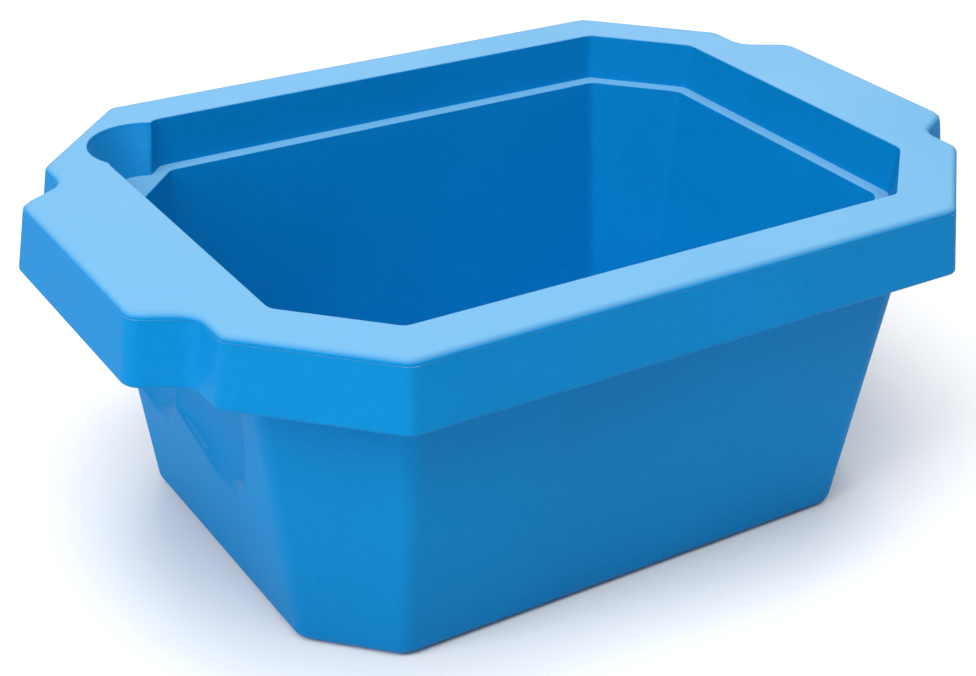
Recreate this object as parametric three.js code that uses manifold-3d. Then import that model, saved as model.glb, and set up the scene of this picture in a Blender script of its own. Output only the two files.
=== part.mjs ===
// Insulated pan: a thick-walled tub moulded in one piece from closed-cell foam with a
// dense skin. Plan shape is a rectangle with cut corners. Millimetres, +Z up, origin at
// the centre of the base, +X along the length, the pouring corner at -X +Y.
import * as THREE from 'three';
import { mergeVertices } from 'three/addons/utils/BufferGeometryUtils.js';
import Module from 'manifold-3d';

// overall
const HEIGHT = 176;
const SKIN = 3;              // dense outer skin
const GAP = 0.3;             // clearance between neighbouring pieces
const SPLIT_DROP = 3;        // parting line below the rim's top face

// rim seen from above: half sizes and the leg of the 45 degree corner cut
const RIM_X = 198, RIM_Y = 149, RIM_CUT = 54.5, RIM_R = 7;
// lifting lugs at both ends
const LUG_OUT = 24, LUG_TIP = 60, LUG_ROOT = 73, LUG_R = 8, LUG_ROOT_R = 12;
// deep edge of the rim
const APRON = 32.5, APRON_FLARE = 4.2, EDGE_R = 2.6, LIP_R = 2;

// body below the rim: at the rim's underside and at the base
const TOP_X = 180.5, TOP_Y = 131.5, TOP_CUT = 48.5, TOP_R = 15;
const FOOT_X = 158.5, FOOT_Y = 112.5, FOOT_CUT = 35, FOOT_R = 11;
const FOOT_FILLET = 6;

// opening: rebate for a lid, with its ledge, and the cavity under it
const OPEN_X = 171.5, OPEN_Y = 123.7, OPEN_CUT = 40, OPEN_R = 8;
const REBATE = 24.2, REBATE_IN = 2.4, LEDGE_IN = 9.1;
const FLOOR = 16, FLOOR_X = 149, FLOOR_Y = 98, FLOOR_CUT = 24, FLOOR_R = 10;
const FLOOR_FILLET = 14;

// pouring lip: a cone scooped out of one corner of the rebate
const SPOUT_X = -147, SPOUT_Y = 97, SPOUT_R_TOP = 27.3, SPOUT_R_LEDGE = 17;

// finger scoops in each end wall, two under each lug: foot of each valley line along Y,
// lowest height, depth, reach to either side of the valley, and its sideways lean at the foot
const SCOOP_Y = [-41, 34], SCOOP_FOOT = 58, SCOOP_DEPTH = 8.5;
const FAR_REACH = 63, NEAR_REACH = 34, VALLEY_SHIFT = 19;

const ARC = 4;               // segments in each rounded corner
const END_COLUMNS = 27;      // points across an end wall, between its rounded corners
const END_HALF = 69;
const WALL_ROWS = [20, 50, 57, 60, 63, 67, 72, 79, 88, 100, 116, 132];

const columns = [...Array(END_COLUMNS).keys()]
  .map((i) => END_HALF * ((2 * i) / (END_COLUMNS - 1) - 1));

// points of a rounded corner between its two sides, n + 1 of them
function fillet([px, py], [cx, cy], [nx, ny], r, n = ARC) {
  const u = new THREE.Vector2(px - cx, py - cy).normalize();
  const v = new THREE.Vector2(nx - cx, ny - cy).normalize();
  const half = Math.acos(THREE.MathUtils.clamp(u.dot(v), -1, 1)) / 2;
  const t = r / Math.tan(half);
  const m = u.clone().add(v).normalize().multiplyScalar(r / Math.sin(half));
  const ox = cx + m.x, oy = cy + m.y;
  const a0 = Math.atan2(cy + u.y * t - oy, cx + u.x * t - ox);
  let da = Math.atan2(cy + v.y * t - oy, cx + v.x * t - ox) - a0;
  while (da > Math.PI) da -= 2 * Math.PI;
  while (da < -Math.PI) da += 2 * Math.PI;
  const out = [];
  for (let k = 0; k <= n; k++) {
    const a = a0 + (da * k) / n;
    out.push([ox + r * Math.cos(a), oy + r * Math.sin(a)]);
  }
  return out;
}

// one plan outline, anticlockwise: half sizes x and y, corner cut, radius, and the points
// of its +X end side from -Y to +Y, which the -X end mirrors
function outline(x, y, cut, r, end) {
  const quarter = [
    ...fillet([x, 0], [x, y - cut], [x - cut, y], r),
    ...fillet([x, y - cut], [x - cut, y], [-x, y], r),
  ];
  const flip = (pts, sx, sy) => pts.map(([a, b]) => [a * sx, b * sy]);
  return [...end, ...quarter, ...flip([...quarter].reverse(), -1, 1),
    ...flip([...end].reverse(), -1, 1), ...flip(quarter, -1, -1),
    ...flip([...quarter].reverse(), 1, -1)];
}
const flatEnd = (x, y) => columns.map((c) => [x, (c / END_HALF) * y]);

// a lug's outline from root to root, with as many points as an end wall
function lugEnd(x, s) {
  const tip = LUG_TIP + s * 0.75, root = LUG_ROOT + s * 0.75, out = x + LUG_OUT;
  const low = [
    ...fillet([x, -root - 30], [x, -root], [out, -tip], LUG_ROOT_R - s * 0.3),
    ...fillet([x, -root], [out, -tip], [out, 0], LUG_R + s * 0.3),
  ];
  const rest = END_COLUMNS - 2 * low.length, y0 = low[low.length - 1][1];
  const middle = [...Array(rest).keys()].map((i) => [out, y0 * (1 - (2 * (i + 1)) / (rest + 1))]);
  return [...low, ...middle, ...low.map(([a, b]) => [a, -b]).reverse()];
}

// how deep the finger scoops cut into an end wall at y along it and height z
function scoopDepth(y, z) {
  const up = Math.max(z - SCOOP_FOOT, 0);
  const valley = VALLEY_SHIFT * Math.sqrt(Math.max(0, 1 - up / 7));
  const far = valley + (FAR_REACH - valley) * Math.min(1, (up / 17) ** 0.62);
  const near = -NEAR_REACH * (Math.max(up - 7, 0) / 78) ** 0.62 - 0.5 * Math.min(up, 1);
  const floor = SCOOP_DEPTH * (1 - Math.exp(-up / 13));
  let depth = 0;
  for (const foot of SCOOP_Y) {
    const u = y - foot;
    const a = THREE.MathUtils.clamp((u - valley) / Math.max(far - valley, 1e-6), 0, 1);
    const b = THREE.MathUtils.clamp((valley - u) / Math.max(valley - near, 1e-6), 0, 1);
    depth = Math.max(depth, floor * (u > valley ? (1 - a ** 2.4) ** 0.7 : (1 - b) ** 1.1));
  }
  return depth;
}

const lerp = (a, b, t) => a + (b - a) * t;
const CUT_GROWTH = 2 - Math.SQRT2;             // how a 45 degree cut grows with an offset

// outlines at height z, moved outwards by s
function bodyAt(z, s) {
  const t = z / (HEIGHT - APRON), x = lerp(FOOT_X, TOP_X, t) + s;
  return outline(x, lerp(FOOT_Y, TOP_Y, t) + s, lerp(FOOT_CUT, TOP_CUT, t) + s * CUT_GROWTH,
    lerp(FOOT_R, TOP_R, t) + s * 0.5, columns.map((y) => [x - scoopDepth(y, z), y]));
}
function rimAt(z, s) {
  const f = APRON_FLARE * (HEIGHT - z) / APRON + s;
  return outline(RIM_X + f, RIM_Y + f, RIM_CUT + f * CUT_GROWTH, RIM_R + s * 0.5,
    lugEnd(RIM_X + f, f));
}
function openingAt(x, y, cut, r) {
  return outline(x, y, cut, r, flatEnd(x, (y - cut) * 0.8));
}
function rebateAt(z, s) {
  const i = REBATE_IN * (HEIGHT - z) / REBATE - s;
  return openingAt(OPEN_X - i, OPEN_Y - i, OPEN_CUT - i * CUT_GROWTH, OPEN_R + s * 0.5);
}
function cavityAt(z, s) {
  const t = (z - FLOOR) / (HEIGHT - REBATE - FLOOR);
  const x = OPEN_X - LEDGE_IN, y = OPEN_Y - LEDGE_IN, c = OPEN_CUT - LEDGE_IN * CUT_GROWTH;
  return openingAt(lerp(FLOOR_X, x, t) + s, lerp(FLOOR_Y, y, t) + s,
    lerp(FLOOR_CUT, c, t) + s * CUT_GROWTH, lerp(FLOOR_R, OPEN_R, t) + s * 0.5);
}

const wasm = await Module();
wasm.setup();

// closed solid through a stack of outlines given from the bottom up
function loft(stack) {
  const n = stack[0].pts.length, xyz = [], tri = [];
  for (const { pts, z } of stack) for (const [x, y] of pts) xyz.push(x, y, z);
  for (let k = 0; k + 1 < stack.length; k++) {
    for (let i = 0; i < n; i++) {
      const a = k * n + i, b = k * n + (i + 1) % n;
      tri.push(a, b, b + n, a, b + n, a + n);
    }
  }
  const last = (stack.length - 1) * n, low = xyz.length / 3;
  xyz.push(0, 0, stack[0].z, 0, 0, stack[stack.length - 1].z);
  if (stack[0].centre) {
    const [cx, cy] = stack[0].centre;
    xyz.splice(-6, 6, cx, cy, stack[0].z, cx, cy, stack[stack.length - 1].z);
  }
  for (let i = 0; i < n; i++) {
    const j = (i + 1) % n;
    tri.push(low, j, i, low + 1, last + i, last + j);
  }
  return new wasm.Manifold(new wasm.Mesh({
    numProp: 3, vertProperties: new Float32Array(xyz), triVerts: new Uint32Array(tri),
  }));
}
const at = (f, z, s) => ({ pts: f(z, s), z });

// everything inside the outer surface, moved by s, up to height top
function outerForm(s, top) {
  const under = HEIGHT - APRON;
  const steps = [0, 0.3, 0.62, 1];
  const foot = steps.map((k) => {
    const a = k * Math.PI / 2;
    const z = FOOT_FILLET * (1 - Math.cos(a)), inset = FOOT_FILLET * (1 - Math.sin(a));
    return { pts: bodyAt(z, s - inset), z: z - s };
  });
  const lip = [[0, LIP_R], [0.6, LIP_R * 0.4], [LIP_R, 0]].map(([up, inset]) => ({
    pts: rimAt(under + up, s - inset), z: under + up - s,
  }));
  const rows = WALL_ROWS.map((z) => at(bodyAt, z, s));
  const wall = { pts: bodyAt(under, s), z: under - s - 0.02 };
  return loft([...foot, ...rows, wall, ...lip, { pts: rimAt(top, s), z: top }]);
}

// the open space inside, moved by s
function voidForm(s) {
  const ledge = HEIGHT - REBATE, lowest = FLOOR - s;
  const r = FLOOR_FILLET;
  const bowl = [0, 0.25, 0.5, 0.75, 1].map((k) => {
    const a = k * Math.PI / 2;
    return { pts: cavityAt(FLOOR + r * (1 - Math.cos(a)), s - r * (1 - Math.sin(a))),
      z: lowest + (r + s * 0.3) * (1 - Math.cos(a)) };
  });
  const cavity = loft([...bowl, { pts: cavityAt(ledge, s), z: ledge + 0.5 }]);
  const top = HEIGHT + 2;
  const rebate = [at(rebateAt, ledge, s)];
  rebate[0].z = ledge - s;
  rebate.push(at(rebateAt, HEIGHT - EDGE_R, s));
  rebate.push({ pts: rebateAt(HEIGHT - EDGE_R * 0.3, s + EDGE_R * 0.3), z: HEIGHT - EDGE_R * 0.3 });
  rebate.push({ pts: rebateAt(HEIGHT, s + EDGE_R), z: HEIGHT });
  rebate.push({ pts: rebateAt(HEIGHT, s + EDGE_R), z: top });
  const cone = (z, r0) => {
    const pts = [];
    for (let i = 0; i < 40; i++) {
      const a = (2 * Math.PI * i) / 40;
      pts.push([SPOUT_X + (r0 + s) * Math.cos(a), SPOUT_Y + (r0 + s) * Math.sin(a)]);
    }
    return { pts, z, centre: [SPOUT_X, SPOUT_Y] };
  };
  const spout = loft([cone(ledge - s + 0.01, SPOUT_R_LEDGE), cone(HEIGHT - EDGE_R, SPOUT_R_TOP),
    cone(HEIGHT, SPOUT_R_TOP + EDGE_R * 0.8), cone(top, SPOUT_R_TOP + EDGE_R * 0.8)]);
  return cavity.add(loft(rebate)).add(spout);
}

const split = HEIGHT - SPLIT_DROP;

// outer skin: base, walls with the finger scoops, underside of the rim, apron and lugs
const outerSkin = outerForm(0, split).subtract(outerForm(-SKIN, split + 5));

// inner skin: top face of the rim and lugs, rebate, ledge, cavity walls and floor
const deckStack = [at(rimAt, split + GAP, 0)];
for (const k of [0.35, 0.7, 1]) {
  const a = k * Math.PI / 2;
  deckStack.push({ pts: rimAt(HEIGHT - EDGE_R * (1 - Math.sin(a)), -EDGE_R * (1 - Math.cos(a))),
    z: HEIGHT - EDGE_R * (1 - Math.sin(a)) });
}
const slab = loft([
  { pts: openingAt(RIM_X, RIM_Y, RIM_CUT, RIM_R), z: 0 },
  { pts: openingAt(RIM_X, RIM_Y, RIM_CUT, RIM_R), z: HEIGHT - 1 },
]);
const innerSkin = loft(deckStack).add(voidForm(SKIN).intersect(slab)).subtract(voidForm(0));

// foam core: fills the space between the two skins
const core = outerForm(-SKIN - GAP, split - GAP).subtract(voidForm(SKIN + GAP));

function piece(name, solid, color, roughness) {
  const m = solid.getMesh();
  const g = new THREE.BufferGeometry();
  g.setAttribute('position', new THREE.BufferAttribute(new Float32Array(m.vertProperties), 3));
  g.setIndex(Array.from(m.triVerts));
  const mesh = new THREE.Mesh(mergeVertices(g, 1e-4),
    new THREE.MeshStandardMaterial({ color, roughness, metalness: 0 }));
  mesh.name = name;
  return mesh;
}

const tub = new THREE.Group();
tub.name = 'insulated_pan';
tub.add(piece('outer_skin', outerSkin, 0x0b6fb0, 0.6));
tub.add(piece('inner_skin', innerSkin, 0x1583c4, 0.55));
tub.add(piece('foam_core', core, 0x5aa6d6, 0.95));

export default tub;
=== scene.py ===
"""Insulated tub, looks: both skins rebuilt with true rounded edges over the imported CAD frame."""

import math

import bpy
import numpy as np
from mathutils import Matrix, Vector


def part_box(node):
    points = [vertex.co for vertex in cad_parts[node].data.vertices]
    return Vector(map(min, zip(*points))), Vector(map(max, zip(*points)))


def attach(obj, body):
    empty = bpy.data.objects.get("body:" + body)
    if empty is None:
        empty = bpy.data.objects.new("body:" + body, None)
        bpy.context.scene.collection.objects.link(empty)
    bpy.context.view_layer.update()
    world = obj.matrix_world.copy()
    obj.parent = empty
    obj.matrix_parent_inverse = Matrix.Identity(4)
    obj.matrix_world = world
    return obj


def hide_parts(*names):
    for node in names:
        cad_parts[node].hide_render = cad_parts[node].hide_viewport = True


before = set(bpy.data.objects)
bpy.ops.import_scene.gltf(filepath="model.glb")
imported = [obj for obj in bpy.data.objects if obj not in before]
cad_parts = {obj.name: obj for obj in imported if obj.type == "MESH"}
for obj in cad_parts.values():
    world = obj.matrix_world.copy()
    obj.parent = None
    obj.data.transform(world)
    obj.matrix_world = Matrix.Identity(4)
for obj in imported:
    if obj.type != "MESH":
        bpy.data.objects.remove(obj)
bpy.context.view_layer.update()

MM = 0.001

# sizes taken from the frame (millimetres)
skin_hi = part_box("outer_skin")[1]
deck_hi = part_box("inner_skin")[1]
HEIGHT = deck_hi.z / MM
SPLIT = skin_hi.z / MM                    # mould parting line
HALF_LENGTH = skin_hi.x / MM              # over the lugs, at the foot of the rim's deep edge
HALF_WIDTH = skin_hi.y / MM

SKIN, GAP = 3.0, 0.3
APRON, FLARE = 32.5, 4.2                  # deep edge of the rim, and how far it leans out
LUG_OUT, LUG_TIP, LUG_ROOT, LUG_R, LUG_ROOT_R = 24.0, 60.0, 73.0, 8.0, 12.0
LIP_RISE = 0.25                           # flare lost by the lip, which lifts the widest point
RIM_X, RIM_Y = HALF_LENGTH - LUG_OUT - FLARE + LIP_RISE, HALF_WIDTH - FLARE + LIP_RISE
RIM_CUT, RIM_R = 54.5, 7.0
LIP_R, EDGE_R, SEAM = 2.0, 2.6, 0.12      # lower lip, top edge, width of the parting line

TOP_X, TOP_Y, TOP_CUT, TOP_R = 180.5, 131.5, 48.5, 15.0
FOOT_X, FOOT_Y, FOOT_CUT, FOOT_R = 158.5, 112.5, 35.0, 11.0
FOOT_FILLET, UNDER_FILLET = 6.0, 2.5

OPEN_X, OPEN_Y, OPEN_CUT = 171.1, 123.2, 40.0
INNER_EDGE_R, LEDGE_R = 0.7, 0.5
REBATE, REBATE_IN, LEDGE_IN = 24.2, 2.4, 9.1
FLOOR, FLOOR_X, FLOOR_Y, FLOOR_CUT, FLOOR_FILLET = 16.0, 149.0, 98.0, 24.0, 14.0

SPOUT_X, SPOUT_Y, SPOUT_R_TOP, SPOUT_R_LEDGE = -147.0, 97.0, 27.3, 17.0
# finger scoops in each end wall: foot of the valley line of each, lowest height, depth, and
# how fast the two edges of a scoop climb from its lowest point
SCOOP_Y, SCOOP_FOOT, SCOOP_DEPTH = (-41.0, 34.0), 58.0, 8.5
FAR_REACH, NEAR_REACH, VALLEY_SHIFT = 63.0, 34.0, 19.0

CUT_GROWTH = 2 - math.sqrt(2)             # how a 45 degree cut grows with an offset
ARC = 8                                   # segments in each rounded corner
END_Y = np.linspace(-69, 69, 139)         # columns across each end wall, through the scoops
UNDER = HEIGHT - APRON
WALL_RINGS, APRON_RINGS = 96, 8           # rings up the outside wall, and up the rim's deep edge
CAP_STEPS = (0.02, 0.35, 0.7)             # rings that close a stack's end towards its middle


def mix(a, b, t):
    return a + (b - a) * t


def soft_min(a, b, k):
    """Lower of a and b, with the crossing rounded over a length k."""
    h = np.maximum(k - np.abs(a - b), 0) / k
    return np.minimum(a, b) - h * h * k / 4


def soft_max(a, b, k):
    return -soft_min(-a, -b, k)


def fillet(prev, corner, nxt, r, n):
    """n + 1 points round a corner of radius r between its two sides."""
    p, c, q = (np.array(v, float) for v in (prev, corner, nxt))
    u, v = (p - c) / np.linalg.norm(p - c), (q - c) / np.linalg.norm(q - c)
    half = math.acos(np.clip(u @ v, -1, 1)) / 2
    bis = (u + v) / np.linalg.norm(u + v)
    o = c + bis * r / math.sin(half)
    a = c + u * r / math.tan(half) - o
    b = c + v * r / math.tan(half) - o
    a0, a1 = math.atan2(a[1], a[0]), math.atan2(b[1], b[0])
    sweep = (a1 - a0 + math.pi) % (2 * math.pi) - math.pi
    return [o + r * np.array([math.cos(a0 + sweep * i / n), math.sin(a0 + sweep * i / n)])
            for i in range(n + 1)]


def ring(x, y, cut, r, end):
    """A whole outline, anticlockwise, from its +X end side given as points from -Y to +Y."""
    near = fillet((x, 0), (x, y - cut), (x - cut, y), r, ARC)
    far = fillet((x, y - cut), (x - cut, y), (-x, y), r, ARC)
    quarter = near + far
    mirror = lambda pts, sx, sy: [p * (sx, sy) for p in pts]
    out = [p for p in end]
    out += quarter
    out += mirror(quarter[::-1], -1, 1)
    out += mirror(end[::-1], -1, 1)
    out += mirror(quarter, -1, -1)
    out += mirror(quarter[::-1], 1, -1)
    return np.array(out)


def lug_end(x, s):
    """The lug's outline from its -Y root to its +Y root, with as many points as an end wall."""
    tip, root = LUG_TIP + s * 0.75, LUG_ROOT + s * 0.75
    lug_x = x + LUG_OUT
    n = 10
    low = fillet((x, -root - 30), (x, -root), (lug_x, -tip), LUG_ROOT_R - s * 0.3, n)
    low += fillet((x, -root), (lug_x, -tip), (lug_x, 0), LUG_R + s * 0.3, n)
    rest = len(END_Y) - 2 * len(low)
    y0 = -low[-1][1]
    mid = [np.array([lug_x, y]) for y in np.linspace(-y0, y0, rest + 2)[1:-1]]
    return low + mid + [p * (1, -1) for p in low[::-1]]


def rim_ring(z, s=0.0):
    f = FLARE * (HEIGHT - z) / APRON + s
    x, y, cut = RIM_X + f, RIM_Y + f, RIM_CUT + f * CUT_GROWTH
    return ring(x, y, cut, RIM_R + s * 0.5, lug_end(x, f))


def scoop_depth(y, z):
    """How deep the finger scoops cut into an end wall at distance y along it and height z."""
    up = max(z - SCOOP_FOOT, 0.0)
    low = max(0.0, 1 - up / 7) ** 0.5                    # the valley starts off to one side
    valley = VALLEY_SHIFT * low
    far = valley + (FAR_REACH - valley) * min(1.0, (up / 17) ** 0.62)
    near = valley - (valley + NEAR_REACH * (max(up - 7, 0) / 78) ** 0.62 + 0.5 * min(up, 1))
    floor = SCOOP_DEPTH * (1 - math.exp(-up / 13))
    depth = np.zeros_like(y)
    for foot in SCOOP_Y:
        u = y - foot
        a = np.clip((u - valley) / max(far - valley, 1e-6), 0, 1)
        b = np.clip((valley - u) / max(valley - near, 1e-6), 0, 1)
        far_side = (1 - a ** 2.4) ** 0.7
        near_side = (1 - b) ** 1.1
        depth = np.maximum(depth, floor * np.where(u > valley, far_side, near_side))
    return depth


def body_ring(z, s=0.0):
    t = z / UNDER
    x, y = mix(FOOT_X, TOP_X, t) + s, mix(FOOT_Y, TOP_Y, t) + s
    cut, r = mix(FOOT_CUT, TOP_CUT, t) + s * CUT_GROWTH, mix(FOOT_R, TOP_R, t) + s * 0.5
    xs = x - scoop_depth(END_Y, z)
    return ring(x, y, cut, r, [np.array(p) for p in zip(xs, END_Y)])


def stack_mesh(name, rings):
    """Closed mesh through rings of equal length; caps close in rings towards the middle."""
    rings = [np.column_stack([p, np.full(len(p), z)]) for p, z in rings]
    first, last = rings[0], rings[-1]
    low, high = first.mean(axis=0), last.mean(axis=0)
    rings = [low + (first - low) * (k, k, 1) for k in CAP_STEPS] + rings
    rings += [high + (last - high) * (k, k, 1) for k in CAP_STEPS[::-1]]
    n = len(rings[0])
    verts = np.concatenate(rings)
    i, j = np.arange(n), (np.arange(n) + 1) % n
    faces = []
    for k in range(len(rings) - 1):
        a, b = k * n, (k + 1) * n
        faces += np.column_stack([a + i, a + j, b + j, b + i]).tolist()
    faces.append(list(range(n))[::-1])
    faces.append([(len(rings) - 1) * n + v for v in range(n)])
    mesh = bpy.data.meshes.new(name)
    mesh.from_pydata((verts * MM).tolist(), [], faces)
    mesh.validate()
    mesh.update()
    obj = bpy.data.objects.new(name, mesh)
    bpy.context.scene.collection.objects.link(obj)
    mesh.shade_smooth()
    weighted = obj.modifiers.new("even shading", "WEIGHTED_NORMAL")
    weighted.weight = 50
    return obj


def round_steps(n):
    return [math.pi / 2 * i / n for i in range(n + 1)]


# ---- outside: base, walls with the finger scoops, rim underside, deep edge, lugs ----
def outside_stack(s):
    """Rings from the base up to the parting line, on a surface moved inwards by s."""
    out = []
    for a in round_steps(6):
        up, inset = FOOT_FILLET * (1 - math.cos(a)), FOOT_FILLET * (1 - math.sin(a))
        out.append((body_ring(up, -inset - s), up + s))
    top = UNDER - UNDER_FILLET
    for z in np.linspace(FOOT_FILLET, top, WALL_RINGS)[1:]:
        out.append((body_ring(z, -s), z + s * 0.98))
    for a in round_steps(4)[1:]:
        z = top + UNDER_FILLET * math.sin(a)
        out.append((body_ring(z, UNDER_FILLET * (1 - math.cos(a)) - s), z + s))
    for a in round_steps(5):
        up, inset = LIP_R * (1 - math.cos(a)), LIP_R * (1 - math.sin(a))
        out.append((rim_ring(UNDER + up, -inset - s), UNDER + up + s))
    for z in np.linspace(UNDER + LIP_R, SPLIT - SEAM, APRON_RINGS)[1:]:
        out.append((rim_ring(z, -s), max(z, UNDER + LIP_R + s)))
    return out


outer_face = outside_stack(0.0)
outer_face += [(rim_ring(SPLIT - SEAM * 0.5, -SEAM * 0.25), SPLIT - SEAM * 0.5),
               (rim_ring(SPLIT, -SEAM), SPLIT)]
inner_face = [(p, z) for p, z in outside_stack(SKIN) if z < SPLIT - 1]
inner_face.append((rim_ring(SPLIT, -SKIN), SPLIT))
outside = stack_mesh("tub_outside", outer_face + inner_face[::-1])


# ---- inside: rim top, rebate with the pouring lip, ledge, cavity ----
def polar(x, y, cut, r, angles):
    """Distance from the centre to a rounded outline in each direction."""
    c, s = np.abs(np.cos(angles)), np.abs(np.sin(angles))
    flat = np.minimum(x / np.maximum(c, 1e-9), y / np.maximum(s, 1e-9))
    slant = (x + y - cut) / np.maximum(c + s, 1e-9)
    return soft_min(flat, slant, r)


def lobe(angles, r):
    """Distance from the centre to the far side of the pouring lip's circle, or 0 beside it."""
    d = np.hypot(SPOUT_X, SPOUT_Y)
    off = angles - math.atan2(SPOUT_Y, SPOUT_X)
    off = (off + math.pi) % (2 * math.pi) - math.pi
    k = r * r - (d * np.sin(off)) ** 2
    return np.where((k > 0) & (np.abs(off) < 1), d * np.cos(off) + np.sqrt(np.maximum(k, 0)), 0)


def opening_angles():
    """Even steps, finer at the corners and finest round the pouring lip."""
    base = np.linspace(-math.pi, math.pi, 361)[:-1]
    at = math.atan2(SPOUT_Y, SPOUT_X)
    fine = np.linspace(at - 0.3, at + 0.3, 160)
    corner = math.atan2(OPEN_Y - OPEN_CUT / 2, OPEN_X - OPEN_CUT / 2)
    corners = [np.linspace(c - 0.16, c + 0.16, 60)
               for c in (corner, -corner, math.pi - corner, corner - math.pi)]
    every = np.sort(np.concatenate([base, fine, *corners]))
    keep = [every[0]]
    for v in every[1:]:
        if v - keep[-1] > 0.0034:
            keep.append(v)
    return np.array(keep)


ANGLES = opening_angles()
DIRECTIONS = np.column_stack([np.cos(ANGLES), np.sin(ANGLES)])


def rebate_ring(z, s=0.0):
    i = REBATE_IN * (HEIGHT - z) / REBATE - s
    d = polar(OPEN_X - i, OPEN_Y - i, OPEN_CUT - i * CUT_GROWTH, 2.5, ANGLES)
    r = mix(SPOUT_R_LEDGE, SPOUT_R_TOP, (z - HEIGHT + REBATE) / REBATE) + s
    d = soft_max(d, lobe(ANGLES, r), 1.5)
    return DIRECTIONS * d[:, None]


def cavity_ring(z, s=0.0):
    t = (z - FLOOR) / (HEIGHT - REBATE - FLOOR)
    x, y = OPEN_X - LEDGE_IN, OPEN_Y - LEDGE_IN
    c = OPEN_CUT - LEDGE_IN * CUT_GROWTH
    x, y, c = mix(FLOOR_X, x, t) + s, mix(FLOOR_Y, y, t) + s, mix(FLOOR_CUT, c, t) + s * CUT_GROWTH
    d = polar(x, y, c, 2.5, ANGLES)
    return DIRECTIONS * d[:, None]


def by_angle(points):
    """An outline cut by the rays of ANGLES, so it can meet the opening's rings point for point."""
    p, q = points, np.roll(points, -1, axis=0)
    side = q - p
    cross = lambda u, v: u[..., 0] * v[..., 1] - u[..., 1] * v[..., 0]
    d = DIRECTIONS[:, None, :]
    turn = cross(d, side[None])
    turn = np.where(np.abs(turn) < 1e-12, 1e-12, turn)
    reach, along = cross(p, side)[None] / turn, cross(p[None], d) / turn
    hit = (reach > 0) & (along >= -1e-9) & (along <= 1 + 1e-9)
    return DIRECTIONS * np.where(hit, reach, 0).max(axis=1)[:, None]


def inside_stack(s):
    """Rings from the rim's inner edge down to the floor, on a surface moved outwards by s."""
    out, ledge = [], HEIGHT - REBATE
    for a in round_steps(4):
        drop, grow = INNER_EDGE_R * (1 - math.cos(a)), INNER_EDGE_R * (1 - math.sin(a))
        out.append((rebate_ring(HEIGHT - INNER_EDGE_R, grow + s), HEIGHT - drop))
    for z in np.linspace(HEIGHT - INNER_EDGE_R, ledge + LEDGE_R, 14)[1:]:
        out.append((rebate_ring(z, s), z))
    for a in round_steps(3)[1:]:
        out.append((rebate_ring(ledge + LEDGE_R, s - LEDGE_R * (1 - math.cos(a))),
                    ledge + LEDGE_R * (1 - math.sin(a))))
    r = LEDGE_R
    for a in round_steps(3):
        out.append((cavity_ring(ledge, s + r * (1 - math.sin(a))), ledge - r * (1 - math.cos(a))))
    for z in np.linspace(ledge - r, FLOOR + FLOOR_FILLET, 24)[1:]:
        out.append((cavity_ring(z, s), z))
    for a in round_steps(8)[1:]:
        z = FLOOR + FLOOR_FILLET * (1 - math.sin(a))
        out.append((cavity_ring(z, s - FLOOR_FILLET * (1 - math.cos(a))), z))
    return out


# the rounded top edge, from the seam's level up to the flat top: height and inset
edge = [(HEIGHT - EDGE_R * (1 - math.sin(a)), EDGE_R * (1 - math.cos(a))) for a in round_steps(6)]
rim_side = [(by_angle(rim_ring(SPLIT + SEAM * 0.3, -SEAM)), SPLIT + SEAM * 0.3),
            (by_angle(rim_ring(SPLIT + SEAM, 0)), SPLIT + SEAM)]
for z, inset in edge:
    if z > SPLIT + SEAM + 0.05:
        rim_side.append((by_angle(rim_ring(z, -inset)), z))
top_in = inside_stack(0.0)
flat_out, flat_in = rim_side[-1][0], top_in[0][0]
deck = [(mix(flat_out, flat_in, k), HEIGHT) for k in (0.04, 0.35, 0.65, 0.96)]
seen = rim_side + deck + top_in


def under_deck(s, top):
    """The unseen side of the inside, moved by s: from the floor out and up to height top."""
    out = []
    for p, z in inside_stack(s)[::-1]:
        if z < HEIGHT - REBATE - 1.5:
            low = max(0.0, 1 - (z - FLOOR) / FLOOR_FILLET)
            out.append((p, z - s * low))
    low = HEIGHT - REBATE - s
    out = [(p, z) for p, z in out if z < low - 0.5]
    out.append((cavity_ring(HEIGHT - REBATE, s), low - 0.2))
    for z in (low, (low + top) / 2, top):
        out.append((rebate_ring(max(z, HEIGHT - REBATE), s), z))
    return out


back = under_deck(SKIN, SPLIT + SEAM * 0.3)
# stack from the floor's underside outwards, up over the rim and down to the floor again
inside = stack_mesh("tub_inside", back + seen)

# foam core between the two skins
core_out = [(by_angle(p), z) for p, z in outside_stack(SKIN + GAP) if z < SPLIT - 1]
core_out.append((by_angle(rim_ring(SPLIT, -SKIN - GAP)), SPLIT - GAP))
core = stack_mesh("tub_core", core_out + under_deck(SKIN + GAP, SPLIT - GAP)[::-1])


# ---- materials ----
def nodes_of(name):
    mat = bpy.data.materials.new(name)
    mat.use_nodes = True
    tree = mat.node_tree
    tree.nodes.clear()
    return mat, tree


def noise(tree, coord, scale, detail, rough=0.5):
    n = tree.nodes.new("ShaderNodeTexNoise")
    n.inputs["Scale"].default_value = scale
    n.inputs["Detail"].default_value = detail
    n.inputs["Roughness"].default_value = rough
    tree.links.new(coord.outputs["Object"], n.inputs["Vector"])
    return n


def ramp(tree, source, lo, hi, a, b):
    r = tree.nodes.new("ShaderNodeMapRange")
    r.inputs["From Min"].default_value = lo
    r.inputs["From Max"].default_value = hi
    r.inputs["To Min"].default_value = a
    r.inputs["To Max"].default_value = b
    tree.links.new(source, r.inputs["Value"])
    return r.outputs["Result"]


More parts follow.
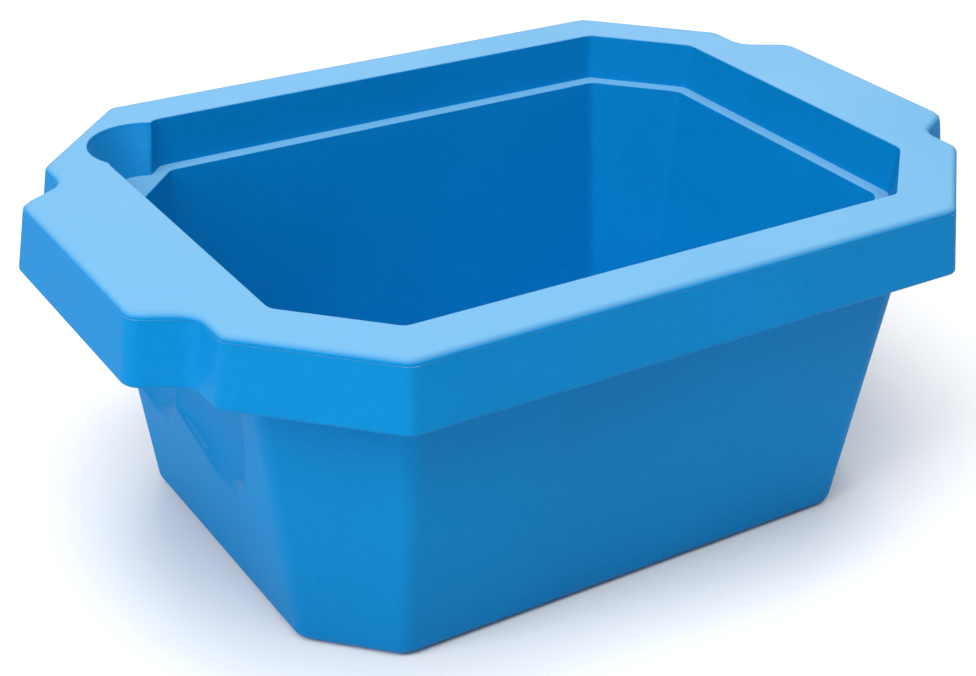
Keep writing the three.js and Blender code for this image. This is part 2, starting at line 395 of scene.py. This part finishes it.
def blend_color(tree, factor, a, b):
    m = tree.nodes.new("ShaderNodeMix")
    m.data_type = "RGBA"
    for socket, value in (("A", a), ("B", b)):
        target = next(i for i in m.inputs if i.name == socket and i.type == "RGBA")
        if hasattr(value, "links"):
            tree.links.new(value, target)
        else:
            target.default_value = (*value, 1)
    tree.links.new(factor, m.inputs["Factor"])
    return next(o for o in m.outputs if o.type == "RGBA")


def foam_skin(name, deep, light, worn, glare_tint):
    """Dense moulded foam skin: satin, faintly mottled, with a very fine leathery grain."""
    mat, tree = nodes_of(name)
    coord = tree.nodes.new("ShaderNodeTexCoord")
    shader = tree.nodes.new("ShaderNodeBsdfPrincipled")
    out = tree.nodes.new("ShaderNodeOutputMaterial")
    tree.links.new(shader.outputs["BSDF"], out.inputs["Surface"])

    cloud = noise(tree, coord, 9, 4)
    speck = noise(tree, coord, 420, 3, 0.65)
    rub = noise(tree, coord, 38, 6, 0.7)
    color = blend_color(tree, ramp(tree, cloud.outputs["Fac"], 0.3, 0.7, 0, 1), deep, light)
    fine = blend_color(tree, ramp(tree, speck.outputs["Fac"], 0.35, 0.7, 0, 0.16), color, worn)
    scuff = blend_color(tree, ramp(tree, rub.outputs["Fac"], 0.62, 0.8, 0, 0.3), fine, worn)
    geometry = tree.nodes.new("ShaderNodeNewGeometry")
    edge = blend_color(tree, ramp(tree, geometry.outputs["Pointiness"], 0.53, 0.66, 0, 0.5),
                       scuff, worn)
    # painted highlight: faces that look up are blended towards a paler tint that stands for glare on them
    facing = tree.nodes.new("ShaderNodeSeparateXYZ")
    tree.links.new(geometry.outputs["Normal"], facing.inputs["Vector"])
    painted_glare = blend_color(tree, ramp(tree, facing.outputs["Z"], 0.35, 0.95, 0, 1), edge, glare_tint)
    tree.links.new(painted_glare, shader.inputs["Base Color"])
    tree.links.new(ramp(tree, cloud.outputs["Fac"], 0.3, 0.7, 0.46, 0.56), shader.inputs["Roughness"])
    shader.inputs["Specular IOR Level"].default_value = 0.06

    grain = noise(tree, coord, 900, 4, 0.6)
    pebble = tree.nodes.new("ShaderNodeTexVoronoi")
    pebble.inputs["Scale"].default_value = 620
    tree.links.new(coord.outputs["Object"], pebble.inputs["Vector"])
    fine_bump = tree.nodes.new("ShaderNodeBump")
    fine_bump.inputs["Strength"].default_value = 0.25
    fine_bump.inputs["Distance"].default_value = 0.0002
    tree.links.new(grain.outputs["Fac"], fine_bump.inputs["Height"])
    skin_bump = tree.nodes.new("ShaderNodeBump")
    skin_bump.inputs["Strength"].default_value = 0.2
    skin_bump.inputs["Distance"].default_value = 0.0002
    tree.links.new(pebble.outputs["Distance"], skin_bump.inputs["Height"])
    tree.links.new(fine_bump.outputs["Normal"], skin_bump.inputs["Normal"])
    wave = noise(tree, coord, 14, 2)
    soft_bump = tree.nodes.new("ShaderNodeBump")
    soft_bump.inputs["Strength"].default_value = 0.12
    soft_bump.inputs["Distance"].default_value = 0.001
    tree.links.new(wave.outputs["Fac"], soft_bump.inputs["Height"])
    tree.links.new(skin_bump.outputs["Normal"], soft_bump.inputs["Normal"])
    tree.links.new(soft_bump.outputs["Normal"], shader.inputs["Normal"])
    return mat


BLUE_DEEP, BLUE, BLUE_WORN = (0.0, 0.178, 0.455), (0.0, 0.20, 0.505), (0.01, 0.28, 0.60)
# tint of faces that look up: it stands for glare on them, not for a second pigment
PALE_BLUE = (0.115, 0.315, 0.52)
skin = foam_skin("moulded foam skin", BLUE_DEEP, BLUE, BLUE_WORN, PALE_BLUE)
foam = foam_skin("closed-cell foam", (0.10, 0.36, 0.62), (0.16, 0.42, 0.68), (0.3, 0.55, 0.78),
                 (0.2, 0.46, 0.7))
for piece, node, material, slot in ((outside, "outer_skin", skin, "skin"),
                                    (inside, "inner_skin", skin, "skin"),
                                    (core, "foam_core", foam, "foam")):
    piece.data.materials.append(material)
    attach(piece, "root")
    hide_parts(node)


# ---- floor, light, camera ----
def plain_material(name, color, rough):
    mat, tree = nodes_of(name)
    shader = tree.nodes.new("ShaderNodeBsdfPrincipled")
    out = tree.nodes.new("ShaderNodeOutputMaterial")
    shader.inputs["Base Color"].default_value = (*color, 1)
    shader.inputs["Roughness"].default_value = rough
    tree.links.new(shader.outputs["BSDF"], out.inputs["Surface"])
    return mat


floor_mesh = bpy.data.meshes.new("floor")
reach = 8.0
floor_mesh.from_pydata([(-reach, -reach, 0), (reach, -reach, 0), (reach, reach, 0),
                        (-reach, reach, 0)], [], [(0, 1, 2, 3)])
floor = bpy.data.objects.new("floor", floor_mesh)
bpy.context.scene.collection.objects.link(floor)
floor_mesh.materials.append(plain_material("pale floor", (0.82, 0.82, 0.82), 0.85))


def soft_light(name, at, size, watts, color=(1, 1, 1)):
    data = bpy.data.lights.new(name, "AREA")
    data.shape, data.size, data.size_y = "RECTANGLE", size[0], size[1]
    data.energy, data.color = watts, color
    lamp = bpy.data.objects.new(name, data)
    lamp.location = at
    aim = Vector((0, 0, HEIGHT * 0.5 * MM)) - Vector(at)
    lamp.rotation_euler = aim.to_track_quat("-Z", "Y").to_euler()
    bpy.context.scene.collection.objects.link(lamp)


soft_light("overhead", (-0.3, -0.5, 2.3), (2.4, 2.4), 72)
soft_light("left", (-2.1, -0.3, 1.4), (1.2, 1.2), 34)
soft_light("back", (1.4, 2.1, 1.35), (2.2, 1.4), 34)

world = bpy.data.worlds.new("studio")
world.use_nodes = True
world.node_tree.nodes["Background"].inputs["Color"].default_value = (1, 1, 1, 1)
world.node_tree.nodes["Background"].inputs["Strength"].default_value = 0.24
bpy.context.scene.world = world
bpy.context.scene.view_settings.view_transform = "Standard"

CAMERA_AT = (-0.4596, -0.6845, 0.3485 + HEIGHT * MM)
AZIMUTH, ELEVATION, ROLL, LENS = -33.212, 28.522, 1.749, 68.92
a, e, roll = (math.radians(v) for v in (AZIMUTH, ELEVATION, ROLL))
backward = Vector((math.sin(a) * math.cos(e), -math.cos(a) * math.cos(e), math.sin(e)))
level = Vector((math.cos(a), math.sin(a), 0))
upward = backward.cross(level)
right = level * math.cos(roll) + upward * math.sin(roll)
upward = upward * math.cos(roll) - level * math.sin(roll)
cam_data = bpy.data.cameras.new("camera")
cam_data.lens, cam_data.sensor_width = LENS, 36
cam = bpy.data.objects.new("camera", cam_data)
cam.matrix_world = Matrix.Translation(CAMERA_AT) @ Matrix((right, upward, backward)).transposed().to_4x4()
bpy.context.scene.collection.objects.link(cam)
bpy.context.scene.camera = cam

bpy.context.view_layer.update()
